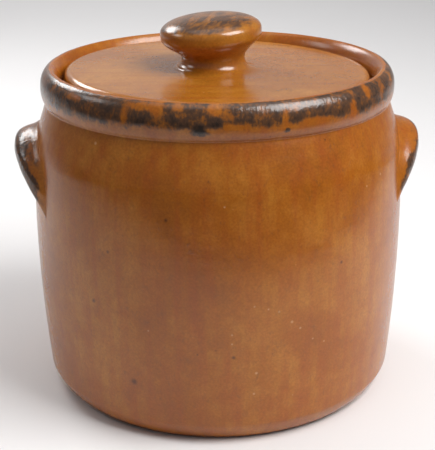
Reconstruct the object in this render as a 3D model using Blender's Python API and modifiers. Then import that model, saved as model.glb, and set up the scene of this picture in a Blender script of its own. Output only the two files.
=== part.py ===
"""Lidded stoneware canister: a turned jar with a rolled rim and two lugs, and a lid with a knob.

Metres, +Z up. The origin is the centre of the flat base, and the two lugs lie on the X axis. The lid
rests on a ledge, the gallery, just inside the rim. Run it with: blender --background --python part.py
"""

import math

import bmesh
import bpy

MM = 0.001

# Driving sizes, in millimetres.
BODY_RADIUS = 100.0
BELLY_HEIGHT = 91.0
RIM_HEIGHT = 176.3
RIM_RADIUS = 93.8
WALL = 9.0
FLOOR = 9.5
MOUTH_RADIUS = 75.0
LEDGE_HEIGHT = 165.0
LID_RADIUS = 80.9
LID_TOP = 173.1
LID_GAP = 0.3
KNOB_RADIUS = 27.0
KNOB_TOP = 201.7
LUG_HALF_WIDTH = 43.0
LUG_REACH = 11.2

# Body of the jar. The belly is a flat curve that is a little tighter above its widest height than below.
FOOT_RADIUS = 88.2
FOOT_BEVEL = 1.0
HEEL_RADIUS = 89.0
HEEL_HEIGHT = 11.0
HEEL_POWER = 1.25
CURVE_BELOW = 0.0006
CURVE_ABOVE = 0.00086
SHOULDER_HEIGHT = 134.0
SHOULDER_POWER = 1.3
GROOVE_HEIGHT = 157.7
GROOVE_RADIUS = 91.6

# Rolled rim, a bead that is round above and a little squarer below, over the groove.
ROLL_HEIGHT = 166.5
ROLL_CREST_RADIUS = 87.5
ROLL_UNDER_RADIUS = 90.6
ROLL_UNDER_DEPTH = 8.6
ROLL_UNDER_POWER = 2.2
ROLL_UNDER_ANGLE = -70.0

# Inside of the jar. The wall eases in over its shoulder to the mouth, and the ledge lies outside that.
INNER_CORNER = 14.0
MOUTH_HEIGHT = 160.8
LEDGE_BEVEL = 1.0
GALLERY_RADIUS = 83.0
GALLERY_CORNER = 1.4
GALLERY_HEIGHT = 168.4
ROLL_INNER_POWER = 1.6

# Lid. The top of the plate slopes a little down towards +X, and the knob leans a little towards -X.
LID_EDGE = 3.2
LID_FOOT_EDGE = 1.5
LID_SLOPE = 0.022
KNOB_SHIFT = 2.0
KNOB_LEAN = 3.9
LEAN_START = 175.0
LEAN_END = 186.0
KNOB_MIDDLE = 193.2
KNOB_UNDER = 190.5
KNOB_POWER = 2.2
NECK_RADIUS = 16.9
NECK_HEIGHT = 179.3
NECK_FLARE = 5.0
NECK_FLARE_HEIGHT = 176.7
NECK_FLARE_POWER = 2.1

# Lug, an arch of clay with drooping ends, in its own flat coordinates on the wall: across, up and out.
LUG_HEIGHT = 137.3
LUG_DROP = 25.7
LUG_ABOVE = 7.1
LUG_BELOW = 7.9
LUG_END_SHARE = 0.3
LUG_EDGE_POWER = 2.8
LUG_ARCH_POWER = 2.4
LUG_TAPER = 0.25
LUG_TURN = -2.0
LUG_SINK = 1.2
LUG_ROOT = 6.0
LUG_COLUMNS = 25
LUG_EDGE_STEPS = 6

TURN_STEPS = 80
LID_STEPS = 64
KNOB_STEPS = 7

JAR_COLOUR = (0.27, 0.098, 0.022, 1.0)
LID_COLOUR = (0.32, 0.125, 0.034, 1.0)
GLAZE_ROUGHNESS = 0.28
SMOOTH_ANGLE = math.radians(35)


def clear_scene():
    """Removes whatever the file holds, so that only the canister is left."""
    for item in list(bpy.data.objects):
        bpy.data.objects.remove(item)


def new_collection(name):
    """Makes a collection in the scene and returns it."""
    collection = bpy.data.collections.new(name)
    bpy.context.scene.collection.children.link(collection)
    return collection


def glaze(name, colour):
    """A brown salt-glazed stoneware material."""
    material = bpy.data.materials.new(name)
    material.use_nodes = True
    shader = material.node_tree.nodes["Principled BSDF"]
    shader.inputs["Base Color"].default_value = colour
    shader.inputs["Roughness"].default_value = GLAZE_ROUGHNESS
    shader.inputs["Metallic"].default_value = 0.0
    material.diffuse_color = colour
    return material


def wall_radius(height):
    """Outer radius of the body at a height between the heel and the groove, in millimetres."""
    if height <= BELLY_HEIGHT:
        return BODY_RADIUS - CURVE_BELOW * (BELLY_HEIGHT - height) ** 2
    belly = min(height, SHOULDER_HEIGHT)
    radius = BODY_RADIUS - CURVE_ABOVE * (belly - BELLY_HEIGHT) ** 2
    rise = max(0.0, height - SHOULDER_HEIGHT) / (GROOVE_HEIGHT - SHOULDER_HEIGHT)
    return radius - (radius - GROOVE_RADIUS) * min(1.0, rise) ** SHOULDER_POWER


def between(low, high, steps):
    """Evenly spaced values from low to high, both included."""
    return [low + (high - low) * step / steps for step in range(steps + 1)]


def ease(share):
    """Runs smoothly from 0 to 1 as share does, and stays there outside that range."""
    share = min(1.0, max(0.0, share))
    return share * share * (3 - 2 * share)


def ogee(start, end, steps):
    """Points on an S-curve between two (radius, height) points, upright at both."""
    rise = end[1] - start[1]
    return [(start[0] + (end[0] - start[0]) * ease(s), start[1] + rise * s) for s in between(0, 1, steps)]


def super_arc(middle, reach, power, start, end, steps):
    """Points on a rounded box with these half sizes, from one angle to another in degrees."""
    points = []
    for angle in between(math.radians(start), math.radians(end), steps):
        across, up = math.cos(angle), math.sin(angle)
        points.append(
            (
                middle[0] + math.copysign(abs(across) ** (2 / power), across) * reach[0],
                middle[1] + math.copysign(abs(up) ** (2 / power), up) * reach[1],
            )
        )
    return points


def inner_profile():
    """The jar's inside, from the middle of its floor up to the ledge and the top of the rim."""
    low_wall = FLOOR + INNER_CORNER
    corner_radius = wall_radius(low_wall) - WALL - INNER_CORNER
    corner = super_arc((corner_radius, low_wall), (INNER_CORNER, INNER_CORNER), 2, -90, 0, 5)
    wall = [(wall_radius(z) - WALL, z) for z in between(low_wall, SHOULDER_HEIGHT, 5)[1:]]
    shoulder = ogee(wall[-1], (MOUTH_RADIUS, MOUTH_HEIGHT), 6)[1:]
    ledge = [
        (MOUTH_RADIUS, LEDGE_HEIGHT - LEDGE_BEVEL),
        (MOUTH_RADIUS + LEDGE_BEVEL, LEDGE_HEIGHT),
        (GALLERY_RADIUS - GALLERY_CORNER, LEDGE_HEIGHT),
        (GALLERY_RADIUS, LEDGE_HEIGHT + GALLERY_CORNER),
    ]
    roll_middle = (ROLL_CREST_RADIUS, GALLERY_HEIGHT)
    roll_reach = (ROLL_CREST_RADIUS - GALLERY_RADIUS, RIM_HEIGHT - GALLERY_HEIGHT)
    roll = super_arc(roll_middle, roll_reach, ROLL_INNER_POWER, 180, 90, 4)[:-1]
    return [(0.0, FLOOR)] + corner + wall + shoulder + ledge + roll


def outer_profile():
    """The jar's outside, from the top of the rolled rim down to the middle of its base."""
    crown_reach = (RIM_RADIUS - ROLL_CREST_RADIUS, RIM_HEIGHT - ROLL_HEIGHT)
    under_reach = (RIM_RADIUS - ROLL_UNDER_RADIUS, ROLL_UNDER_DEPTH)
    crown = super_arc((ROLL_CREST_RADIUS, ROLL_HEIGHT), crown_reach, 2, 90, 0, 6)
    under_middle = (ROLL_UNDER_RADIUS, ROLL_HEIGHT)
    under = super_arc(under_middle, under_reach, ROLL_UNDER_POWER, 0, ROLL_UNDER_ANGLE, 4)[1:]
    shoulder = [(wall_radius(z), z) for z in between(GROOVE_HEIGHT - 0.8, SHOULDER_HEIGHT, 5)]
    belly = [(wall_radius(z), z) for z in between(SHOULDER_HEIGHT, HEEL_HEIGHT, 9)[1:]]
    heel_reach = (wall_radius(HEEL_HEIGHT) - HEEL_RADIUS, HEEL_HEIGHT - FOOT_BEVEL)
    heel = super_arc((HEEL_RADIUS, HEEL_HEIGHT), heel_reach, HEEL_POWER, 0, -90, 5)[1:]
    groove = [(GROOVE_RADIUS, GROOVE_HEIGHT)]
    return crown + under + groove + shoulder + belly + heel + [(FOOT_RADIUS, 0.0), (0.0, 0.0)]


def lid_profile():
    """The lid, from the top of the knob down its outside, over the plate's edge and in under it."""
    knob_reach = (KNOB_RADIUS, KNOB_TOP - KNOB_MIDDLE)
    crown = super_arc((0.0, KNOB_MIDDLE), knob_reach, KNOB_POWER, 90, 0, KNOB_STEPS)
    head = ogee((KNOB_RADIUS, KNOB_UNDER), (NECK_RADIUS, NECK_HEIGHT), KNOB_STEPS)
    flare_middle = (NECK_RADIUS + NECK_FLARE, NECK_FLARE_HEIGHT)
    flare_reach = (NECK_FLARE, NECK_FLARE_HEIGHT - LID_TOP)
    flare = super_arc(flare_middle, flare_reach, NECK_FLARE_POWER, 180, 270, 5)
    bottom = LEDGE_HEIGHT + LID_GAP
    edge_middle = (LID_RADIUS - LID_EDGE, LID_TOP - LID_EDGE)
    edge = super_arc(edge_middle, (LID_EDGE, LID_EDGE), 2, 90, 0, 4)
    foot_middle = (LID_RADIUS - LID_FOOT_EDGE, bottom + LID_FOOT_EDGE)
    foot = super_arc(foot_middle, (LID_FOOT_EDGE, LID_FOOT_EDGE), 2, 0, -90, 2)
    return [(0.0, KNOB_TOP)] + crown[1:] + head + flare + edge + foot + [(0.0, bottom)]


def add_turned(name, profile, steps, collection):
    """Turns a profile, given as (radius, height) pairs in millimetres, about Z into a closed solid."""
    mesh = bpy.data.meshes.new(name)
    outline = [(radius * MM, 0.0, height * MM) for radius, height in profile]
    mesh.from_pydata(outline, [(k, k + 1) for k in range(len(outline) - 1)], [])
    item = bpy.data.objects.new(name, mesh)
    collection.objects.link(item)
    screw = item.modifiers.new("turn", "SCREW")
    screw.steps = screw.render_steps = steps
    screw.use_merge_vertices = True
    screw.merge_threshold = 0.00001
    return item


def keep_shape(item):
    """Replaces an object's mesh with the one that its modifiers make, and drops the modifiers."""
    bpy.context.view_layer.update()
    graph = bpy.context.evaluated_depsgraph_get()
    made = bpy.data.meshes.new_from_object(item.evaluated_get(graph))
    item.modifiers.clear()
    item.data = made


def set_by_hand(lid):
    """Gives the lid the small faults of hand work: a plate that slopes, and a knob that leans."""
    bottom = LEDGE_HEIGHT + LID_GAP
    for vertex in lid.data.vertices:
        x, height = vertex.co.x / MM, vertex.co.z / MM
        plate = min(1.0, (height - bottom) / (LID_TOP - bottom))
        knob = ease((height - LEAN_START) / (LEAN_END - LEAN_START))
        lean = math.radians(KNOB_LEAN) * knob
        up = height - LEAN_START
        moved = -KNOB_SHIFT * ease((height - LID_TOP) / (LEAN_START - LID_TOP))
        sloped = -LID_SLOPE * x * plate * (1 - knob)
        vertex.co.x = (x * math.cos(lean) - up * math.sin(lean) + moved) * MM
        vertex.co.z = (LEAN_START + up * math.cos(lean) + x * math.sin(lean) + sloped) * MM


def lug_section(across):
    """One upright section of the lug, as (across, up, out) points round it from its top to its root."""
    share = abs(across / LUG_HALF_WIDTH)
    slope = 2 * LUG_DROP * share / LUG_HALF_WIDTH
    thickness = math.hypot(1, slope) * (LUG_END_SHARE + (1 - LUG_END_SHARE) * (1 - share**4) ** 0.5)
    ridge = -LUG_DROP * share**2
    reach = (LUG_REACH + LUG_SINK) * (1 - share**LUG_ARCH_POWER)
    above = super_arc((0, 0), (reach, LUG_ABOVE * thickness), LUG_EDGE_POWER, 90, 0, LUG_EDGE_STEPS)
    below = super_arc((0, 0), (reach, LUG_BELOW * thickness), LUG_EDGE_POWER, 0, -90, LUG_EDGE_STEPS)
    above = [(out, up * (1 - LUG_TAPER * out / reach)) for out, up in above]
    section = [(across, ridge + up, out - LUG_SINK) for out, up in above + below[1:]]
    low, high = section[-1][1], section[0][1]
    return section + [(across, low, -LUG_ROOT), (across, high, -LUG_ROOT)]


def on_wall(across, up, out, side):
    """The point of the lug at this place of its own coordinates, wrapped on to the jar's wall."""
    turn = math.radians(LUG_TURN)
    along = across * math.cos(turn) - up * math.sin(turn)
    height = LUG_HEIGHT + across * math.sin(turn) + up * math.cos(turn)
    angle = along / BODY_RADIUS + (0 if side > 0 else math.pi)
    radius = wall_radius(height) + out
    return radius * math.cos(angle) * MM, radius * math.sin(angle) * MM, height * MM


def add_lug(side, collection):
    """Builds one lug as a loft of upright sections, on the +X or the -X side."""
    shape = bmesh.new()
    rings = []
    for step in range(LUG_COLUMNS):
        across = -LUG_HALF_WIDTH * math.cos(math.pi * (step + 0.5) / LUG_COLUMNS)
        rings.append([shape.verts.new(on_wall(*point, side)) for point in lug_section(across)])
    count = len(rings[0])
    for ring, following in zip(rings, rings[1:]):
        for k in range(count):
            after = (k + 1) % count
            shape.faces.new((ring[k], ring[after], following[after], following[k]))
    shape.faces.new(rings[0])
    shape.faces.new(reversed(rings[-1]))
    bmesh.ops.recalc_face_normals(shape, faces=shape.faces)
    mesh = bpy.data.meshes.new("lug")
    shape.to_mesh(mesh)
    shape.free()
    lug = bpy.data.objects.new("lug", mesh)
    collection.objects.link(lug)


def join_to(item, pieces):
    """Fuses a collection of pieces to an object by one Boolean union, and removes the pieces."""
    union = item.modifiers.new("fuse", "BOOLEAN")
    union.operation = "UNION"
    union.operand_type = "COLLECTION"
    union.collection = pieces
    union.solver = "EXACT"
    keep_shape(item)
    for piece in list(pieces.objects):
        bpy.data.objects.remove(piece)
    bpy.data.collections.remove(pieces)


def finish(item, material):
    """Gives a solid its material and smooth shading with crisp edges."""
    item.data.materials.clear()
    item.data.materials.append(material)
    item.data.shade_smooth()
    item.data.set_sharp_from_angle(angle=SMOOTH_ANGLE)


def build_jar(collection):
    """The jar with its two lugs, thrown and luted together, so one solid."""
    jar = add_turned("jar", inner_profile() + outer_profile(), TURN_STEPS, collection)
    keep_shape(jar)
    lugs = new_collection("lugs")
    for side in (1, -1):
        add_lug(side, lugs)
    join_to(jar, lugs)
    finish(jar, glaze("jar_glaze", JAR_COLOUR))


def build_lid(collection):
    """The lid with its knob, one solid that rests on the ledge."""
    lid = add_turned("lid", lid_profile(), LID_STEPS, collection)
    keep_shape(lid)
    set_by_hand(lid)
    finish(lid, glaze("lid_glaze", LID_COLOUR))


def main():
    """Builds the canister."""
    clear_scene()
    canister = new_collection("canister")
    build_jar(canister)
    build_lid(canister)


main()
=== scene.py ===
"""Dresses the lidded stoneware canister as thrown, slipped and salt-glazed ware, and lights it for its picture.

All shapes are worked out in millimetres and built in metres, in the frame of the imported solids: +Z up, the origin
at the middle of the base, the lugs on the X axis. An azimuth here is an angle about Z from the front, -Y, and it
grows towards +X.
"""

import logging
import math
from contextlib import contextmanager
from dataclasses import dataclass, field
from enum import Enum
from typing import Callable, Iterator, Optional, Sequence

import bpy
from mathutils import Matrix, Vector, noise


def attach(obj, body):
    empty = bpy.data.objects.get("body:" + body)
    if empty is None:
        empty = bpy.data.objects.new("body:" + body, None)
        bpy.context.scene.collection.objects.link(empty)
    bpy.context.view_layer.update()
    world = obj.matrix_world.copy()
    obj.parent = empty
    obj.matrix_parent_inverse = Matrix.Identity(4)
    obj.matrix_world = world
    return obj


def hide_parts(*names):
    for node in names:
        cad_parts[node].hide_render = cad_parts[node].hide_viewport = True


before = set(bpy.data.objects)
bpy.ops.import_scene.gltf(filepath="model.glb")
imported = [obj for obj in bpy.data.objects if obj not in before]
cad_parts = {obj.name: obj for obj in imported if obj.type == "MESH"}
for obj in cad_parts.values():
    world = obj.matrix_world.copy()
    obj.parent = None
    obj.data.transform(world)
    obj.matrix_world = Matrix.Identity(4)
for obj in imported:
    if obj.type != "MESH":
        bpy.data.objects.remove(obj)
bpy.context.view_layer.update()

LOG = logging.getLogger("canister")
MM = 0.001
BELLY_RADIUS = 100.0
Pair = tuple[float, float]
Colour = tuple[float, float, float, float]


def linear(code: str) -> Colour:
    """Turns an sRGB hex colour into linear red, green, blue and alpha.

    Args:
        code: The colour as "#rrggbb".

    Returns:
        The linear colour, opaque.
    """
    parts = [int(code[k : k + 2], 16) / 255 for k in (1, 3, 5)]
    red, green, blue = [p / 12.92 if p <= 0.04045 else ((p + 0.055) / 1.055) ** 2.4 for p in parts]
    return red, green, blue, 1.0


def per(size: float) -> float:
    """The scale that gives a texture features of this size in millimetres."""
    return 1000 / size


def between(low: float, high: float, steps: int) -> list[float]:
    """Evenly spaced values from low to high, both included."""
    return [low + (high - low) * step / steps for step in range(steps + 1)]


def ease(share: float) -> float:
    """Runs smoothly from 0 to 1 as share does, and stays there outside that range."""
    share = min(1.0, max(0.0, share))
    return share * share * (3 - 2 * share)


def ogee(start: Pair, end: Pair, steps: int) -> list[Pair]:
    """Points on an S-curve between two (radius, height) points, upright at both."""
    rise = end[1] - start[1]
    return [(start[0] + (end[0] - start[0]) * ease(s), start[1] + rise * s) for s in between(0, 1, steps)]


def super_arc(middle: Pair, reach: Pair, power: float, start: float, end: float, steps: int) -> list[Pair]:
    """Points on a rounded box, from one angle to another.

    Args:
        middle: Its middle, as (radius, height).
        reach: Its half width and half height.
        power: 2 for an ellipse, and more for a squarer one.
        start: First angle in degrees, 0 being outwards and 90 up.
        end: Last angle in degrees.
        steps: How many steps lie between them.

    Returns:
        The points, as (radius, height).
    """
    points = []
    for angle in between(math.radians(start), math.radians(end), steps):
        across, up = math.cos(angle), math.sin(angle)
        wide = math.copysign(abs(across) ** (2 / power), across) * reach[0]
        tall = math.copysign(abs(up) ** (2 / power), up) * reach[1]
        points.append((middle[0] + wide, middle[1] + tall))
    return points


def azimuth_of(point: Vector) -> float:
    """The azimuth of a point in degrees, from the front and growing towards +X."""
    return math.degrees(math.atan2(point.x, -point.y))


def ripple(point: Vector, size: float, octaves: int = 2, seed: float = 0.0) -> float:
    """Smooth noise of about -1 to 1 at a point in metres, with lumps of this size in millimetres."""
    where = point * per(size) + Vector((seed, seed * 1.7, -seed))
    return noise.fractal(where, 1.0, 2.0, octaves, noise_basis="PERLIN_ORIGINAL")


@contextmanager
def editing(piece: bpy.types.Object) -> Iterator[None]:
    """Selects only this piece, and holds it in edit mode, selecting points, for the lines inside the block."""
    bpy.ops.object.select_all(action="DESELECT")
    piece.select_set(True)
    bpy.context.view_layer.objects.active = piece
    bpy.ops.object.mode_set(mode="EDIT")
    bpy.ops.mesh.select_mode(type="VERT")
    yield
    bpy.ops.object.mode_set(mode="OBJECT")


def apply_modifier(piece: bpy.types.Object, kind: str, **settings: object) -> None:
    """Adds a modifier to a piece with these settings, and applies it at once."""
    bpy.ops.object.select_all(action="DESELECT")
    piece.select_set(True)
    bpy.context.view_layer.objects.active = piece
    modifier = piece.modifiers.new(kind.lower(), kind)
    for name, value in settings.items():
        setattr(modifier, name, value)
    bpy.ops.object.modifier_apply(modifier=modifier.name)


def turn(name: str, profile: Sequence[Pair], segments: int) -> bpy.types.Object:
    """Turns a piece: draws its profile point by point, spins it round Z, smooths it and closes both middles.

    Args:
        name: The piece's name.
        profile: Its (radius, height) points in millimetres. It starts and ends a little way off the axis.
        segments: How many points each ring has before it is smoothed.

    Returns:
        The finished closed mesh object, at the origin.
    """
    bpy.ops.object.select_all(action="DESELECT")
    bpy.ops.mesh.primitive_plane_add(size=2 * MM, location=(profile[0][0] * MM, 0, profile[0][1] * MM))
    bpy.ops.object.transform_apply(location=True)
    piece = bpy.context.object
    piece.name = piece.data.name = name
    with editing(piece):
        bpy.ops.mesh.select_all(action="SELECT")
        bpy.ops.mesh.merge(type="CENTER")
        for (inner, low), (outer, high) in zip(profile, profile[1:]):
            step = {"value": ((outer - inner) * MM, 0, (high - low) * MM)}
            bpy.ops.mesh.extrude_vertices_move(TRANSFORM_OT_translate=step)
        bpy.ops.mesh.select_all(action="SELECT")
        bpy.ops.mesh.spin(steps=segments, angle=math.tau, use_auto_merge=True, center=(0, 0, 0), axis=(0, 0, 1))
    apply_modifier(piece, "SUBSURF", levels=1, render_levels=1)
    with editing(piece):
        bpy.ops.mesh.select_mode(type="EDGE")
        bpy.ops.mesh.select_all(action="DESELECT")
        bpy.ops.mesh.select_non_manifold()
        bpy.ops.mesh.extrude_edges_move()
        bpy.ops.mesh.merge(type="COLLAPSE")
        bpy.ops.mesh.select_all(action="SELECT")
        bpy.ops.mesh.normals_make_consistent(inside=False)
    return piece


def press(piece: bpy.types.Object, depth: Callable[[Vector], float]) -> None:
    """Moves each point of a piece inwards along its normal.

    Args:
        piece: The mesh object.
        depth: Gives the depth in millimetres at a point in metres, below zero where the clay stands proud.
    """
    mesh = piece.data
    normals = [normal.vector.copy() for normal in mesh.vertex_normals]
    for vertex, normal in zip(mesh.vertices, normals):
        vertex.co -= normal * (depth(vertex.co) * MM)
    mesh.update()


def paint(piece: bpy.types.Object, name: str, amount: Callable[[Vector], float]) -> None:
    """Stores a number at each point of a piece, for its material to read.

    Args:
        piece: The mesh object.
        name: The attribute's name.
        amount: Gives the number at a point in metres.
    """
    attribute = piece.data.attributes.new(name, "FLOAT", "POINT")
    attribute.data.foreach_set("value", [amount(vertex.co) for vertex in piece.data.vertices])


def smooth(piece: bpy.types.Object, angle: float) -> None:
    """Shades a piece smooth, apart from edges sharper than this angle in degrees."""
    bpy.ops.object.select_all(action="DESELECT")
    piece.select_set(True)
    bpy.context.view_layer.objects.active = piece
    bpy.ops.object.shade_smooth_by_angle(angle=math.radians(angle))


def add(tree: bpy.types.NodeTree, kind: str, settings: dict, links: Optional[dict] = None) -> bpy.types.Node:
    """Adds a node to a tree with its settings and links.

    Args:
        tree: The node tree.
        kind: The node's type, without "ShaderNode" in front.
        settings: Values by property name, by input name or by input number. "stops" holds a colour ramp's stops as
            (place, sRGB hex) pairs.
        links: Source sockets by input name or number.

    Returns:
        The new node.
    """
    node = tree.nodes.new("ShaderNode" + kind)
    for key, value in settings.items():
        if key == "stops":
            ramp = node.color_ramp.elements
            for place, _ in value[2:]:
                ramp.new(place)
            for stop, (place, code) in zip(ramp, value):
                stop.position = place
                stop.color = linear(code)
        elif isinstance(key, str) and hasattr(node, key):
            setattr(node, key, value)
        else:
            node.inputs[key].default_value = value
    for key, source in (links or {}).items():
        tree.links.new(source, node.inputs[key])
    return node


class IronMark(Enum):
    """What a mark in the iron slip is, and how much slip it adds."""

    GAP = -0.75
    BLOB = 0.42
    DRIP = 1.0


@dataclass(frozen=True)
class Mark:
    """A place on the rim where the brushed iron slip is missing or lies thick.

    Args:
        azimuth: Its middle, in degrees.
        height: Its middle, in millimetres.
        width: Half its width in degrees.
        reach: Half its height in millimetres.
        kind: Whether slip is missing or thick there.
    """

    azimuth: float
    height: float
    width: float
    reach: float
    kind: IronMark = IronMark.GAP

    def strength(self, azimuth: float, height: float) -> float:
        """How much slip the mark adds at a place."""
        away = math.hypot((azimuth - self.azimuth) / self.width, (height - self.height) / self.reach)
        return ease(1.5 - away) * self.kind.value


@dataclass(frozen=True)
class Spot:
    """A single speck in the glaze, in degrees of azimuth and millimetres.

    Args:
        azimuth: Its place round the jar.
        height: Its height.
        size: Its radius.
        pale: True for a pinhole, its pale colour a painted glint, and False for a dark iron spot.
    """

    azimuth: float
    height: float
    size: float
    pale: bool = False


@dataclass(frozen=True)
class SaltGlaze:
    """Salt-glazed stoneware: brown clay, fired with salt, with an iron slip brushed on where it is dark.

    Salt vapour leaves a thin satin glass with a fine orange-peel skin. The iron in the clay turns it orange-brown,
    with small dark specks and a few pinholes, whose pale colour is a painted glint. Slip is nearly black where thick
    and red-brown where thin. To the eye it is a warm brown skin with soft, slightly broken highlights, and mottled
    black brushwork on top.
    The real grain and orange-peel are finer than a pixel of the picture, so both are drawn coarser, to show.
    """

    name: str
    deep: str = "#8e4e14"
    middle: str = "#a25c15"
    pale: str = "#b06d22"
    red: str = "#984716"
    slip_thin: str = "#8a5220"
    slip_low: str = "#6b4424"
    slip_mid: str = "#4e3626"
    slip_thick: str = "#2d231d"
    speck: str = "#3c1d0e"
    pinhole_glint: str = "#cd9d6a"
    bare_clay: str = "#6f4026"
    roughness: float = 0.24
    roughness_spread: float = 0.06
    slip_roughness: float = 0.22
    clay_roughness: float = 0.85
    ior: float = 1.54
    mottle: float = 42.0
    cloud: float = 9.0
    streak: float = 5.0
    grain: float = 1.1
    peel: float = 1.7
    peel_depth: float = 0.045
    brush: tuple[float, float, float] = (1.0, 1.0, 1.4)
    brush_turn: float = 0.0
    brush_size: float = 3.8
    brush_rag: Pair = (1.1, 1.25)
    streak_scale: tuple[float, float, float] = (1.0, 1.0, 0.1)
    rib: float = 1.4
    rib_depth: float = 0.18
    slip_step: float = 0.05
    spots: tuple[Spot, ...] = ()

    def build(self) -> bpy.types.Material:
        """Builds the material.

        Returns:
            The material, which reads Object coordinates and the attributes iron_slip and bare_clay.
        """
        material = bpy.data.materials.new(self.name)
        material.use_nodes = True
        tree = material.node_tree
        shader = tree.nodes["Principled BSDF"]
        shader.inputs["IOR"].default_value = self.ior
        place = add(tree, "TexCoord", {}).outputs["Object"]
        body = self._body_colour(tree, place)
        body = self._specks(tree, place, body)
        cover = self._slip_cover(tree, place)
        colour = self._slip_colour(tree, cover, body)
        bare = add(tree, "Attribute", {"attribute_name": "bare_clay"}).outputs["Fac"]
        clay = {0: bare, 6: colour}
        colour = add(tree, "Mix", {"data_type": "RGBA", 7: linear(self.bare_clay)}, clay).outputs[2]
        tree.links.new(colour, shader.inputs["Base Color"])
        tree.links.new(self._roughness(tree, place, cover, bare), shader.inputs["Roughness"])
        tree.links.new(self._skin(tree, place, cover), shader.inputs["Normal"])
        return material

    def _body_colour(self, tree: bpy.types.NodeTree, place: bpy.types.NodeSocket) -> bpy.types.NodeSocket:
        """Orange-brown clouds, faint upright streaks and a fine grain."""
        big = add(tree, "TexNoise", {"Scale": per(self.mottle), "Detail": 3.0}, {"Vector": place}).outputs["Fac"]
        cloud = add(tree, "TexNoise", {"Scale": per(self.cloud), "Detail": 4.0, "Roughness": 0.6}, {"Vector": place})
        blend = {"operation": "MULTIPLY_ADD", 1: 0.6}
        mixed = add(tree, "Math", blend, {0: cloud.outputs["Fac"], 2: big}).outputs[0]
        stops = [(0.5, self.deep), (0.78, self.middle), (1.0, self.pale)]
        colour = add(tree, "ValToRGB", {"stops": stops}, {0: mixed}).outputs[0]
        drawn = add(tree, "Mapping", {"Scale": self.streak_scale}, {"Vector": place}).outputs[0]
        streak = add(tree, "TexNoise", {"Scale": per(self.streak), "Detail": 2.0}, {"Vector": drawn}).outputs["Fac"]
        share = {"From Min": 0.42, "From Max": 0.78, "To Max": 0.6}
        amount = add(tree, "MapRange", share, {"Value": streak}).outputs[0]
        sides = {0: amount, 6: colour}
        colour = add(tree, "Mix", {"data_type": "RGBA", 7: linear(self.red)}, sides).outputs[2]
        grain = add(tree, "TexNoise", {"Scale": per(self.grain), "Detail": 2.0}, {"Vector": place}).outputs["Fac"]
        level = {"From Min": 0.25, "From Max": 0.75, "To Min": 0.84, "To Max": 1.16}
        shade = add(tree, "MapRange", level, {"Value": grain}).outputs[0]
        return add(tree, "VectorMath", {"operation": "SCALE"}, {0: colour, "Scale": shade}).outputs[0]

    def _specks(
        self, tree: bpy.types.NodeTree, place: bpy.types.NodeSocket, colour: bpy.types.NodeSocket
    ) -> bpy.types.NodeSocket:
        """Rare scattered specks, each in its own cell, and the larger spots at their own places."""
        # Dark iron specks, then pinholes, whose pale colour is a painted glint.
        for cell, size, rare, code in ((9.0, 0.05, 0.92, self.speck), (10.0, 0.035, 0.9, self.pinhole_glint)):
            dots = add(tree, "TexVoronoi", {"Scale": per(cell)}, {"Vector": place})
            edge = {"From Min": size * 1.6, "From Max": size * 0.5, "To Max": 0.6}
            near = add(tree, "MapRange", edge, {"Value": dots.outputs["Distance"]}).outputs[0]
            pick = add(tree, "SeparateColor", {}, {0: dots.outputs["Color"]}).outputs[0]
            kept = add(tree, "Math", {"operation": "GREATER_THAN", 1: rare}, {0: pick}).outputs[0]
            amount = add(tree, "Math", {"operation": "MULTIPLY"}, {0: near, 1: kept}).outputs[0]
            colour = add(tree, "Mix", {"data_type": "RGBA", 7: linear(code)}, {0: amount, 6: colour}).outputs[2]
        for spot in self.spots:
            turned = math.radians(spot.azimuth)
            middle = Vector((math.sin(turned), -math.cos(turned), 0)) * JarBody().radius_at(spot.height)
            middle.z = spot.height
            away = add(tree, "VectorMath", {"operation": "DISTANCE", 1: middle * MM}, {0: place}).outputs["Value"]
            edge = {"From Min": spot.size * 1.7 * MM, "From Max": spot.size * 0.4 * MM, "To Max": 0.75}
            amount = add(tree, "MapRange", edge, {"Value": away}).outputs[0]
            # Pale spots are pinholes with a painted glint; the others are dark iron spots.
            code = linear(self.pinhole_glint if spot.pale else self.speck)
            colour = add(tree, "Mix", {"data_type": "RGBA", 7: code}, {0: amount, 6: colour}).outputs[2]
        return colour

    def _slip_cover(self, tree: bpy.types.NodeTree, place: bpy.types.NodeSocket) -> bpy.types.NodeSocket:
        """How thick the iron slip lies, from 0 to 1, mottled and with a ragged brushed edge."""
        slip = add(tree, "Attribute", {"attribute_name": "iron_slip"}).outputs["Fac"]
        along = {"vector_type": "TEXTURE", "Rotation": (0, 0, math.radians(self.brush_turn)), "Scale": self.brush}
        drawn = add(tree, "Mapping", along, {"Vector": place}).outputs[0]
        for size, amount in ((self.brush_size, self.brush_rag[0]), (self.brush_size * 0.35, self.brush_rag[1])):
            rag = add(tree, "TexNoise", {"Scale": per(size), "Detail": 3.0}, {"Vector": drawn}).outputs["Fac"]
            centred = add(tree, "Math", {"operation": "SUBTRACT", 1: 0.5}, {0: rag}).outputs[0]
            slip = add(tree, "Math", {"operation": "MULTIPLY_ADD", 1: amount}, {0: centred, 2: slip}).outputs[0]
        return add(tree, "MapRange", {"From Min": 0.12, "From Max": 1.5}, {"Value": slip}).outputs[0]

    def _slip_colour(
        self, tree: bpy.types.NodeTree, cover: bpy.types.NodeSocket, body: bpy.types.NodeSocket
    ) -> bpy.types.NodeSocket:
        """The body colour under slip that runs from red-brown where thin to nearly black where thick."""
        stops = [(0.0, self.slip_thin), (0.3, self.slip_low), (0.65, self.slip_mid), (1.0, self.slip_thick)]
        slip = add(tree, "ValToRGB", {"stops": stops}, {0: cover}).outputs[0]
        hide = add(tree, "MapRange", {"From Max": 0.5}, {"Value": cover}).outputs[0]
        return add(tree, "Mix", {"data_type": "RGBA"}, {0: hide, 6: body, 7: slip}).outputs[2]

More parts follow.
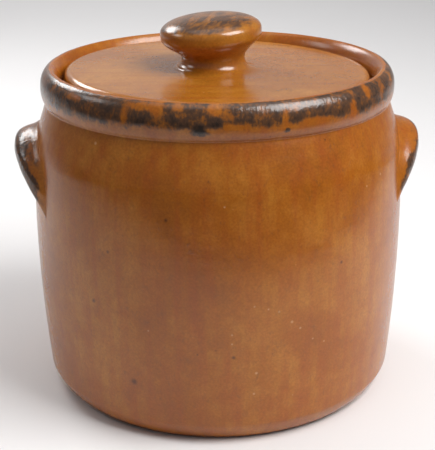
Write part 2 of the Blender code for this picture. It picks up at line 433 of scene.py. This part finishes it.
    def _roughness(
        self,
        tree: bpy.types.NodeTree,
        place: bpy.types.NodeSocket,
        cover: bpy.types.NodeSocket,
        bare: bpy.types.NodeSocket,
    ) -> bpy.types.NodeSocket:
        """Satin on the body, glossier on the slip and dull on bare clay, all of it uneven."""
        cloud = add(tree, "TexNoise", {"Scale": per(self.cloud), "Detail": 3.0}, {"Vector": place}).outputs["Fac"]
        level = {"To Min": self.roughness - self.roughness_spread, "To Max": self.roughness + self.roughness_spread}
        satin = add(tree, "MapRange", level, {"Value": cloud}).outputs[0]
        glossy = add(tree, "Mix", {3: self.slip_roughness}, {0: cover, 2: satin}).outputs[0]
        return add(tree, "Mix", {3: self.clay_roughness}, {0: bare, 2: glossy}).outputs[0]

    def _skin(
        self, tree: bpy.types.NodeTree, place: bpy.types.NodeSocket, cover: bpy.types.NodeSocket
    ) -> bpy.types.NodeSocket:
        """The orange-peel skin of salt glaze, fine ribs across the slip, and the step at the slip's edge."""
        peel = add(tree, "TexNoise", {"Scale": per(self.peel), "Detail": 2.5}, {"Vector": place}).outputs["Fac"]
        low = {"Strength": 1.0, "Distance": self.peel_depth * MM}
        skin = add(tree, "Bump", low, {"Height": peel}).outputs[0]
        if self.rib_depth:
            flat = add(tree, "VectorMath", {"operation": "MULTIPLY", 1: (1, 1, 0)}, {0: place}).outputs[0]
            ring = add(tree, "VectorMath", {"operation": "NORMALIZE"}, {0: flat}).outputs[0]
            round_rim = {"operation": "SCALE", "Scale": JarBody().rim_radius * MM}
            turned = add(tree, "VectorMath", round_rim, {0: ring}).outputs[0]
            ribs = add(tree, "TexNoise", {"Scale": per(self.rib), "Detail": 1.0}, {"Vector": turned}).outputs["Fac"]
            raised = add(tree, "Math", {"operation": "MULTIPLY"}, {0: ribs, 1: cover}).outputs[0]
            deep = {"Strength": 1.0, "Distance": self.rib_depth * MM}
            skin = add(tree, "Bump", deep, {"Height": raised, "Normal": skin}).outputs[0]
        step = {"Strength": 1.0, "Distance": self.slip_step * MM}
        return add(tree, "Bump", step, {"Height": cover, "Normal": skin}).outputs[0]


@dataclass
class Lug:
    """An arched lug, pulled from a strap of clay and pressed on to the wall with its ends drooping."""

    height: float = 137.3
    half_width: float = 43.0
    reach: float = 11.1
    arch_power: float = 2.4
    taper: float = 0.25
    drop: float = 25.7
    above: float = 7.1
    below: float = 7.9
    end_share: float = 0.3
    edge_power: float = 2.8
    turn: float = -2.0
    sink: float = 1.2
    root: float = 6.0
    columns: int = 36
    around: int = 40
    root_share: float = 0.16
    fillet: float = 2.2
    fillet_reach: float = 3.4

    def _section(self, across: float, share: float) -> Pair:
        """A point of an upright section of the lug, as (up, out) from its middle line and the wall.

        Args:
            across: The section's place along the lug, in millimetres from its middle.
            share: How far round the section the point lies, from 0 at the top of the root to 1.

        Returns:
            The point in millimetres.
        """
        along = abs(across / self.half_width)
        slope = 2 * self.drop * along / self.half_width
        thick = math.hypot(1, slope) * (self.end_share + (1 - self.end_share) * (1 - along**4) ** 0.5)
        reach = (self.reach + self.sink) * (1 - along**self.arch_power)
        ridge = -self.drop * along**2
        if share < 1 - self.root_share:
            angle = 90 - 180 * share / (1 - self.root_share)
            tall = (self.above if angle > 0 else self.below) * thick
            out, up = super_arc((0, 0), (reach, tall), self.edge_power, angle, angle, 1)[0]
            if angle > 0:
                up *= 1 - self.taper * out / reach
            out -= self.sink
            flare = self.fillet * (1 - min(1.0, max(0.0, out) / self.fillet_reach)) ** 2
            return ridge + up + math.copysign(flare, angle), out
        back = (share - 1 + self.root_share) / self.root_share
        low, high = self.below * thick + self.fillet, self.above * thick + self.fillet
        return ridge - low + (low + high) * back, -self.sink - self.root * math.sin(math.pi * back) ** 0.5

    def build(self, wall: Callable[[float], float], side: int) -> bpy.types.Object:
        """Builds one lug on the jar's wall.

        Args:
            wall: Gives the jar's outer radius at a height, in millimetres.
            side: 1 for the lug at +X and -1 for the one at -X.

        Returns:
            The lug, a closed mesh whose root lies inside the wall.
        """
        bpy.ops.object.select_all(action="DESELECT")
        bpy.ops.mesh.primitive_circle_add(vertices=self.around, radius=1.0, fill_type="NGON")
        piece = bpy.context.object
        piece.name = "lug_right" if side > 0 else "lug_left"
        with editing(piece):
            bpy.ops.mesh.select_all(action="SELECT")
            for _ in range(self.columns):
                bpy.ops.mesh.extrude_region_move(TRANSFORM_OT_translate={"value": (0, 0, 1)})
        turn = math.radians(self.turn)
        for vertex in piece.data.vertices:
            share = (math.atan2(vertex.co.y, vertex.co.x) / math.tau) % 1.0
            column = (round(vertex.co.z) + 0.5) / (self.columns + 1)
            across = -self.half_width * math.cos(math.pi * column)
            up, out = self._section(across, share)
            along = across * math.cos(turn) - up * math.sin(turn)
            high = self.height + across * math.sin(turn) + up * math.cos(turn)
            angle = along / BELLY_RADIUS + (0 if side > 0 else math.pi)
            radius = wall(high) + out
            vertex.co = Vector((radius * math.cos(angle), radius * math.sin(angle), high)) * MM
        with editing(piece):
            bpy.ops.mesh.select_all(action="SELECT")
            bpy.ops.mesh.normals_make_consistent(inside=False)
        apply_modifier(piece, "SUBSURF", levels=1, render_levels=1)
        return piece


# Spots on the wall: those marked True are pinholes, their pale colour a painted glint.
WALL_SPOTS = (
    Spot(-18.8, 121.7, 0.7),
    Spot(-30.4, 32.5, 1.5),
    Spot(-0.3, 50.9, 0.8),
    Spot(-37.0, 101.2, 0.7),
    Spot(-43.2, 72.6, 0.9),
    Spot(32.8, 93.2, 0.7),
    Spot(-43.3, 152.8, 0.6, True),
    Spot(-2.7, 129.0, 0.4, True),
    Spot(51.1, 130.9, 0.5, True),
    Spot(43.5, 128.0, 0.4, True),
    Spot(5.5, 78.0, 0.4, True),
    Spot(9.5, 75.9, 0.4, True),
    Spot(12.6, 73.9, 0.5, True),
    Spot(16.6, 67.3, 0.6, True),
    Spot(19.3, 63.1, 0.5, True),
    Spot(23.6, 55.6, 0.4, True),
    Spot(27.6, 52.4, 0.4, True),
    Spot(-0.8, 63.4, 0.4, True),
    Spot(-0.8, 58.4, 0.4, True),
    Spot(6.3, 41.3, 0.6, True),
    Spot(5.7, 29.5, 0.5, True),
    Spot(-24.8, 63.2, 0.4, True),
)


@dataclass
class JarBody:
    """The thrown jar: a hollow wall with a flat base, a gallery for the lid and a rolled rim, and its lugs."""

    belly_radius: float = BELLY_RADIUS
    belly_height: float = 91.0
    curve_below: float = 0.0006
    curve_above: float = 0.00086
    shoulder_height: float = 134.0
    shoulder_power: float = 1.3
    groove_height: float = 157.7
    groove_radius: float = 91.6
    rim_height: float = 176.3
    rim_radius: float = 93.8
    roll_height: float = 166.5
    roll_crest_radius: float = 87.5
    roll_under_radius: float = 90.6
    roll_under_depth: float = 8.6
    wall: float = 9.0
    floor: float = 9.5
    inner_corner: float = 14.0
    mouth_radius: float = 75.0
    mouth_height: float = 160.8
    ledge_height: float = 165.0
    gallery_radius: float = 83.0
    gallery_corner: float = 1.4
    gallery_height: float = 168.4
    foot_radius: float = 88.2
    foot_bevel: float = 1.0
    heel_radius: float = 89.0
    heel_height: float = 11.0
    heel_power: float = 1.25
    segments: int = 208
    slip_edge: float = 164.8
    slip_edge_left: float = 1.6
    slip_fade: float = 2.6
    slip_thickness: float = 0.86
    slip_relief: float = 0.1
    marked_to: float = 62.0
    uneven: float = 0.08
    ring_depth: float = 0.03
    ring_pitch: float = 7.5
    glaze: SaltGlaze = field(default_factory=lambda: SaltGlaze("salt_glazed_stoneware_jar", spots=WALL_SPOTS))
    marks: tuple[Mark, ...] = (
        Mark(-53.0, 172.3, 4.0, 1.6),
        Mark(-32.4, 170.5, 1.3, 5.0),
        Mark(-27.0, 174.0, 4.6, 1.7),
        Mark(-22.0, 173.0, 1.8, 2.6),
        Mark(-15.8, 174.2, 1.7, 1.5),
        Mark(-5.2, 173.7, 2.0, 2.3),
        Mark(0.3, 166.0, 3.2, 1.2),
        Mark(15.4, 168.5, 0.8, 3.6),
        Mark(26.0, 165.8, 4.6, 1.7),
        Mark(39.9, 167.0, 1.0, 4.4),
        Mark(48.0, 173.0, 1.3, 2.9),
        Mark(-28.4, 168.0, 2.8, 3.0, IronMark.BLOB),
        Mark(-9.6, 165.3, 1.7, 2.2, IronMark.DRIP),
        Mark(-9.2, 162.9, 2.6, 1.6, IronMark.DRIP),
        Mark(-4.7, 167.6, 2.5, 2.7, IronMark.BLOB),
        Mark(18.5, 168.4, 2.4, 2.9, IronMark.BLOB),
        Mark(15.9, 162.8, 0.9, 1.3, IronMark.DRIP),
        Mark(45.5, 165.5, 3.6, 3.2, IronMark.BLOB),
    )

    def radius_at(self, height: float) -> float:
        """Outer radius of the wall at a height between the heel and the groove, in millimetres."""
        if height <= self.belly_height:
            return self.belly_radius - self.curve_below * (self.belly_height - height) ** 2
        belly = min(height, self.shoulder_height)
        radius = self.belly_radius - self.curve_above * (belly - self.belly_height) ** 2
        rise = max(0.0, height - self.shoulder_height) / (self.groove_height - self.shoulder_height)
        return radius - (radius - self.groove_radius) * min(1.0, rise) ** self.shoulder_power

    def profile(self) -> list[Pair]:
        """The jar's outline, from its inner floor up over the rim and down its outside to the base."""
        low = self.floor + self.inner_corner
        corner_radius = self.radius_at(low) - self.wall - self.inner_corner
        corner = super_arc((corner_radius, low), (self.inner_corner, self.inner_corner), 2, -90, 0, 5)
        wall = [(self.radius_at(z) - self.wall, z) for z in between(low, self.shoulder_height, 6)[1:]]
        shoulder = ogee(wall[-1], (self.mouth_radius, self.mouth_height), 6)[1:]
        ledge = [
            (self.mouth_radius, self.ledge_height - 1.2),
            (self.mouth_radius + 0.4, self.ledge_height - 0.3),
            (self.mouth_radius + 1.2, self.ledge_height),
            (self.gallery_radius - 2.5, self.ledge_height),
            (self.gallery_radius - self.gallery_corner, self.ledge_height),
            (self.gallery_radius - 0.2, self.ledge_height + 0.4),
            (self.gallery_radius, self.ledge_height + self.gallery_corner),
        ]
        inner_reach = (self.roll_crest_radius - self.gallery_radius, self.rim_height - self.gallery_height)
        inner = super_arc((self.roll_crest_radius, self.gallery_height), inner_reach, 1.6, 180, 90, 6)[:-1]
        outer_reach = (self.rim_radius - self.roll_crest_radius, self.rim_height - self.roll_height)
        outer = super_arc((self.roll_crest_radius, self.roll_height), outer_reach, 2, 90, 0, 10)
        under_reach = (self.rim_radius - self.roll_under_radius, self.roll_under_depth)
        under = super_arc((self.roll_under_radius, self.roll_height), under_reach, 2.2, 0, -70, 8)[1:]
        groove = [(self.groove_radius + 0.05, self.groove_height + 0.4), (self.groove_radius, self.groove_height)]
        upper = [(self.radius_at(z), z) for z in between(self.groove_height - 0.7, self.shoulder_height, 9)]
        belly = [(self.radius_at(z), z) for z in between(self.shoulder_height, self.heel_height, 22)[1:]]
        heel_reach = (self.radius_at(self.heel_height) - self.heel_radius, self.heel_height - self.foot_bevel)
        heel = super_arc((self.heel_radius, self.heel_height), heel_reach, self.heel_power, 0, -90, 8)[1:]
        foot = [(self.foot_radius + 0.2, 0.2), (self.foot_radius - 0.5, 0.0), (self.foot_radius - 4, 0.0)]
        inside = [(2.0, self.floor), (40.0, self.floor)] + corner + wall + shoulder + ledge + inner
        outside = outer + under + groove + upper + belly + heel + foot + [(40.0, 0.0), (2.0, 0.0)]
        return inside + outside

    def slip_at(self, point: Vector) -> float:
        """How thick the brushed iron slip lies at a point, from 0 to about 1.2."""
        height, radius = point.z / MM, math.hypot(point.x, point.y) / MM
        azimuth = azimuth_of(point)
        if height > self.groove_height + 1 and radius > self.gallery_radius:
            return self._rim_slip(point, azimuth, height, radius)
        out = radius - self.radius_at(height)
        if out > 0.8 and height < self.groove_height:
            along = math.radians(abs(abs(azimuth) - 90)) * radius / Lug.half_width
            share = out / (Lug.reach * max(0.15, 1 - along**Lug.arch_power))
            worn = 0.24 if azimuth > 0 else 0.0
            edge = 0.95 * ease((share - 0.54 - worn + 0.35 * ripple(point, 8, 3, 4.0)) / 0.3)
            top = 0.0 if azimuth > 0 else 0.5 * ease((height - 124 + 4 * ripple(point, 10, 2, 14.0)) / 9)
            return max(edge, top)
        return 0.0

    def _rim_slip(self, point: Vector, azimuth: float, height: float, radius: float) -> float:
        """The slip on the rolled rim: a band with a wandering lower edge, with gaps and thick blobs."""
        lower = self.slip_edge_left * ease((-azimuth - 25) / 15)
        edge = self.slip_edge - lower + 1.4 * ripple(point, 14, 2, 1.0) + 1.0 * ripple(point, 5, 2, 2.0)
        band = ease((height - edge + self.slip_fade) / (2 * self.slip_fade))
        inside = ease((radius - self.roll_crest_radius - 0.7 + 0.4 * ripple(point, 6, 2, 3.0)) / 1.1)
        thick = self.slip_thickness + 0.42 * ripple(point, 8, 3, 8.0)
        amount = thick * band * inside
        if abs(azimuth) > self.marked_to:
            amount -= 0.9 * band * ease((ripple(point, 17, 2, 7.0) - 0.28) / 0.2)
        for mark in self.marks:
            amount += mark.strength(azimuth, height)
        return max(0.0, amount)

    def relief_at(self, point: Vector) -> float:
        """How far the wall dips below its true form at a point, in millimetres."""
        height = point.z / MM
        if height < 1.0:
            return 0.0
        uneven = self.uneven * (1 + ripple(point, 55, 2, 11.0))
        wander = 2.5 * ripple(point, 70, 1, 5.0)
        rings = self.ring_depth * (1 + math.sin(math.tau * (height + wander) / self.ring_pitch))
        fade = ease((height - 1) / 10)
        return fade * (uneven + rings) - self.slip_relief * min(1.0, self.slip_at(point))

    def build(self) -> bpy.types.Object:
        """Throws the jar, fuses its lugs on, and glazes it.

        Returns:
            The jar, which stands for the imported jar.
        """
        jar = turn("stoneware_jar", self.profile(), self.segments)
        for side in (1, -1):
            lug = Lug().build(self.radius_at, side)
            apply_modifier(jar, "BOOLEAN", operation="UNION", object=lug, solver="EXACT")
            bpy.data.objects.remove(lug)
        paint(jar, "iron_slip", self.slip_at)
        paint(jar, "bare_clay", lambda point: 1 - ease((point.z / MM - 0.6) / 1.2))
        press(jar, self.relief_at)
        jar.data.materials.clear()
        jar.data.materials.append(self.glaze.build())
        smooth(jar, 50)
        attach(jar, "root")
        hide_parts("jar")
        LOG.info("jar: %d faces", len(jar.data.polygons))
        return jar


@dataclass
class Lid:
    """The inset lid: a plate with rounded edges, and a mushroom knob drawn up from its middle."""

    bottom: float = 165.3
    top: float = 173.1
    radius: float = 80.9
    edge: Pair = (4.6, 3.0)
    edge_power: float = 2.3
    foot_edge: float = 1.5
    slope: float = 0.022
    knob_radius: float = 27.0
    knob_top: float = 201.7
    knob_middle: float = 193.2
    knob_under: float = 190.5
    knob_power: float = 2.2
    knob_shift: float = 2.0
    knob_lean: float = 3.9
    lean_start: float = 175.0
    lean_end: float = 186.0
    neck_radius: float = 16.9
    neck_height: float = 179.3
    neck_flare: float = 7.6
    neck_flare_height: float = 178.8
    neck_flare_power: float = 2.1
    segments: int = 176
    slip_edge: float = 195.4
    slip_thickness: float = 0.62
    slip_relief: float = 0.06
    uneven: float = 0.1
    ring_depth: float = 0.03
    ring_pitch: float = 9.0
    # The lid caught more vapour than the jar: its glass is shinier and smoother, and its streaks lie along X. Its
    # lighter, yellower colours are a painted sheen.
    glaze: SaltGlaze = field(
        default_factory=lambda: SaltGlaze(
            "salt_glazed_stoneware_lid",
            deep="#94581a",
            middle="#a3651c",
            pale="#b0732a",
            red="#9a531b",
            roughness=0.2,
            slip_roughness=0.28,
            ior=1.62,
            peel_depth=0.02,
            brush=(2.6, 1.0, 1.0),
            brush_turn=55.0,
            brush_rag=(1.3, 0.8),
            streak_scale=(0.12, 1.0, 1.0),
            rib_depth=0.0,
        )
    )

    def profile(self) -> list[Pair]:
        """The lid's outline, from the top of the knob down its outside and in under the plate."""
        knob_reach = (self.knob_radius, self.knob_top - self.knob_middle)
        crown = super_arc((0, self.knob_middle), knob_reach, self.knob_power, 88, 0, 14)
        head = ogee((self.knob_radius, self.knob_under), (self.neck_radius, self.neck_height), 10)
        flare_reach = (self.neck_flare, self.neck_flare_height - self.top)
        flare_middle = (self.neck_radius + self.neck_flare, self.neck_flare_height)
        flare = super_arc(flare_middle, flare_reach, self.neck_flare_power, 180, 270, 8)
        plate = [(radius, self.top) for radius in between(25.0, self.radius - self.edge[0] - 3.0, 8)]
        edge_middle = (self.radius - self.edge[0], self.top - self.edge[1])
        edge = super_arc(edge_middle, self.edge, self.edge_power, 86, 0, 14)
        foot_middle = (self.radius - self.foot_edge, self.bottom + self.foot_edge)
        foot = super_arc(foot_middle, (self.foot_edge, self.foot_edge), 2, 0, -90, 3)
        under = [(radius, self.bottom) for radius in (70.0, 35.0, 2.0)]
        return crown + head + flare + plate + edge + foot + under

    def _set_by_hand(self, lid: bpy.types.Object) -> None:
        """Gives the lid the small faults of hand work: a plate that slopes, and a knob that leans."""
        for vertex in lid.data.vertices:
            x, height = vertex.co.x / MM, vertex.co.z / MM
            plate = min(1.0, (height - self.bottom) / (self.top - self.bottom))
            knob = ease((height - self.lean_start) / (self.lean_end - self.lean_start))
            lean = math.radians(self.knob_lean) * knob
            up = height - self.lean_start
            moved = -self.knob_shift * ease((height - self.top) / (self.lean_start - self.top))
            sloped = -self.slope * x * plate * (1 - knob)
            vertex.co.x = (x * math.cos(lean) - up * math.sin(lean) + moved) * MM
            vertex.co.z = (self.lean_start + up * math.cos(lean) + x * math.sin(lean) + sloped) * MM

    def slip_at(self, point: Vector) -> float:
        """How thick the iron slip lies: long brush streaks over the top of the knob, bare towards +X."""
        x, height = point.x / MM, point.z / MM
        if height < self.knob_under:
            return 0.0
        crown = ease((height - self.slip_edge - 0.1 * x + 1.4 * ripple(point, 9, 2, 6.0)) / 2.6)
        front = ease((-point.y / MM - 2) / 14)
        patches = self.slip_thickness + 0.12 * front + 0.22 * ripple(point, 7, 2, 9.0)
        bare = ease((x - 15 + 4 * ripple(point, 10, 2, 2.0)) / 8)
        return max(0.0, crown * patches * (1 - 0.8 * bare))

    def relief_at(self, point: Vector) -> float:
        """How far the lid dips below its true form at a point, in millimetres."""
        height, radius = point.z / MM, math.hypot(point.x, point.y) / MM
        if height < self.bottom + 0.5:
            return 0.0
        uneven = self.uneven * (1 + ripple(point, 32, 2, 21.0))
        wander = 1.5 * ripple(point, 40, 1, 3.0)
        rings = self.ring_depth * (1 + math.sin(math.tau * radius / self.ring_pitch + wander))
        return uneven + rings - self.slip_relief * min(1.0, self.slip_at(point))

    def build(self) -> bpy.types.Object:
        """Throws the lid, sets its plate and knob by hand, and glazes it.

        Returns:
            The lid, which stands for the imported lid.
        """
        lid = turn("stoneware_lid", self.profile(), self.segments)
        self._set_by_hand(lid)
        paint(lid, "iron_slip", self.slip_at)
        paint(lid, "bare_clay", lambda point: 1 - ease((point.z / MM - self.bottom - 0.3) / 0.8))
        press(lid, self.relief_at)
        lid.data.materials.clear()
        lid.data.materials.append(self.glaze.build())
        smooth(lid, 50)
        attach(lid, "root")
        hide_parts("lid")
        LOG.info("lid: %d faces", len(lid.data.polygons))
        return lid


@dataclass
class Sweep:
    """A pale paper floor that curves up behind the canister, pale in a painted pool of light round it and darker
    beyond in painted shade. It belongs to the stage.
    """

    front: float = -2.5
    back: float = 2.2
    half_width: float = 3.5
    bend: float = 0.6
    wall: float = 1.4
    # Paper tones: pale, and shade, the painted shade outside the painted pool of light round the canister.
    pale: str = "#ebe9e8"
    shade: str = "#524f4e"
    painted_light_pool_middle: tuple[float, float, float] = (-0.13, 0.28, 0.0)
    painted_light_pool_rim: Pair = (0.68, 0.6)
    behind: Pair = (0.25, 0.6)

    def build(self) -> bpy.types.Object:
        """Builds the floor: pale round the canister and behind it, and darker in front, where painted shade stands
        for the light falling off.

        Returns:
            The floor.
        """
        middle = (self.front + self.back) / 2
        bpy.ops.object.select_all(action="DESELECT")
        bpy.ops.mesh.primitive_plane_add(size=1, location=(0, middle, 0))
        floor = bpy.context.object
        floor.name = "floor"
        floor.scale = (2 * self.half_width, self.back - self.front, 1)
        bpy.ops.object.transform_apply(location=True, rotation=False, scale=True)
        for vertex in floor.data.vertices:
            vertex.select = vertex.co.y > middle
        for edge in floor.data.edges:
            edge.select = all(floor.data.vertices[k].co.y > middle for k in edge.vertices)
        for face in floor.data.polygons:
            face.select = False
        with editing(floor):
            bpy.ops.mesh.select_mode(type="EDGE")
            before = (0.0, 0.0)
            for angle in between(math.radians(7.5), math.radians(90), 11):
                after = (self.bend * math.sin(angle), self.bend * (1 - math.cos(angle)))
                step = {"value": (0, after[0] - before[0], after[1] - before[1])}
                bpy.ops.mesh.extrude_edges_move(TRANSFORM_OT_translate=step)
                before = after
            bpy.ops.mesh.extrude_edges_move(TRANSFORM_OT_translate={"value": (0, 0, self.wall)})
        smooth(floor, 40)
        floor.data.materials.append(self._paper())
        return floor

    def _paper(self) -> bpy.types.Material:
        """Matt paper: no gloss, pale where the canister stands and behind it, and darker beyond; the pale pool is
        painted light and the darker rest is painted shade.
        """
        paper = bpy.data.materials.new("matt_paper")
        paper.use_nodes = True
        tree = paper.node_tree
        shader = tree.nodes["Principled BSDF"]
        shader.inputs["Roughness"].default_value = 0.9
        shader.inputs["Specular IOR Level"].default_value = 0.1
        place = add(tree, "TexCoord", {}).outputs["Object"]
        away = add(tree, "VectorMath", {"operation": "DISTANCE", 1: self.painted_light_pool_middle}, {0: place}).outputs["Value"]
        depth = add(tree, "SeparateXYZ", {}, {0: place}).outputs[1]
        sides = []
        for value, (dark, light) in ((away, self.painted_light_pool_rim), (depth, self.behind)):
            span = {"interpolation_type": "SMOOTHSTEP", "From Min": dark, "From Max": light}
            sides.append(add(tree, "MapRange", span, {"Value": value}).outputs[0])
        # Painted light: pale inside the pool round the canister and behind it, painted shade everywhere else.
        amount = add(tree, "Math", {"operation": "MAXIMUM"}, {0: sides[0], 1: sides[1]}).outputs[0]
        tones = {"data_type": "RGBA", 6: linear(self.shade), 7: linear(self.pale)}
        colour = add(tree, "Mix", tones, {0: amount}).outputs[2]
        tree.links.new(colour, shader.inputs["Base Color"])
        return paper


@dataclass(frozen=True)
class Softbox:
    """One soft studio light.

    Args:
        name: The light's name.
        azimuth: Where it stands, in degrees from the front towards +X.
        elevation: How high it stands, in degrees.
        distance: How far away it stands, in metres.
        size: Its width and height in metres.
        power: Its power in watts.
        aim: What it faces, in metres.
        colour: Its colour, as sRGB hex.
    """

    name: str
    azimuth: float
    elevation: float
    distance: float
    size: Pair
    power: float
    aim: tuple[float, float, float] = (0.0, 0.0, 0.1)
    colour: str = "#ffffff"

    def build(self) -> bpy.types.Object:
        """Hangs the light, facing its aim."""
        lamp = bpy.data.lights.new(self.name, "AREA")
        lamp.shape = "RECTANGLE"
        lamp.size, lamp.size_y = self.size
        lamp.energy = self.power
        lamp.color = linear(self.colour)[:3]
        light = bpy.data.objects.new(self.name, lamp)
        bpy.context.scene.collection.objects.link(light)
        turned, high = math.radians(self.azimuth), math.radians(self.elevation)
        way = Vector((math.sin(turned) * math.cos(high), -math.cos(turned) * math.cos(high), math.sin(high)))
        light.location = Vector(self.aim) + way * self.distance
        light.rotation_euler = (-way).to_track_quat("-Z", "Y").to_euler()
        return light


@dataclass
class Studio:
    """Soft studio light and the camera at the photograph's place."""

    world_colour: str = "#eef0f7"
    world_strength: float = 0.18
    lights: tuple[Softbox, ...] = (
        Softbox("key_front_right", 57, 48, 1.1, (0.7, 0.6), 13.6),
        Softbox("rim_back_left", -145, 34, 1.0, (0.42, 0.24), 3.4),
        Softbox("side_left", -100, 35, 1.0, (0.28, 0.28), 1.0),
        Softbox("overhead", 0, 90, 1.1, (1.0, 1.0), 3.2),
        Softbox("backdrop_wash", 0, 45, 1.3, (1.8, 0.6), 14.0, (-0.6, 2.1, 0.5)),
    )
    camera_place: tuple[float, float, float] = (-0.04605, -0.59335, 0.3054)
    pitch: float = 20.452
    yaw: float = 4.4
    roll: float = -0.416
    focal_pixels: float = 1133.7
    frame_height: int = 450
    sensor: float = 36.0

    def build(self) -> None:
        """Sets the background, the lights, the camera and how colours are shown."""
        scene = bpy.context.scene
        world = bpy.data.worlds.new("studio")
        world.use_nodes = True
        sky = world.node_tree.nodes["Background"]
        sky.inputs["Color"].default_value = linear(self.world_colour)
        sky.inputs["Strength"].default_value = self.world_strength
        scene.world = world
        for light in self.lights:
            light.build()
        self._camera(scene)
        scene.view_settings.view_transform = "Standard"
        scene.view_settings.look = "None"

    def _camera(self, scene: bpy.types.Scene) -> None:
        """Places the camera where the outlines of the photograph put it."""
        pitch, yaw, roll = (math.radians(angle) for angle in (self.pitch, self.yaw, self.roll))
        ahead = Vector((math.sin(yaw) * math.cos(pitch), math.cos(yaw) * math.cos(pitch), -math.sin(pitch)))
        level = ahead.cross(Vector((0, 0, 1))).normalized()
        above = level.cross(ahead)
        right = math.cos(roll) * level + math.sin(roll) * above
        up = math.cos(roll) * above - math.sin(roll) * level
        lens = bpy.data.cameras.new("camera")
        lens.sensor_width = self.sensor
        lens.lens = self.focal_pixels * self.sensor / self.frame_height
        lens.clip_start = 0.01
        camera = bpy.data.objects.new("camera", lens)
        scene.collection.objects.link(camera)
        turned = Matrix((right, up, -ahead)).transposed().to_4x4()
        camera.matrix_world = Matrix.Translation(self.camera_place) @ turned
        scene.camera = camera


def main() -> None:
    """Builds the canister and its stage."""
    logging.basicConfig(level=logging.INFO, format="%(relativeCreated)d ms %(message)s")
    Studio().build()
    Sweep().build()
    JarBody().build()
    Lid().build()


if __name__ == "__main__":
    main()
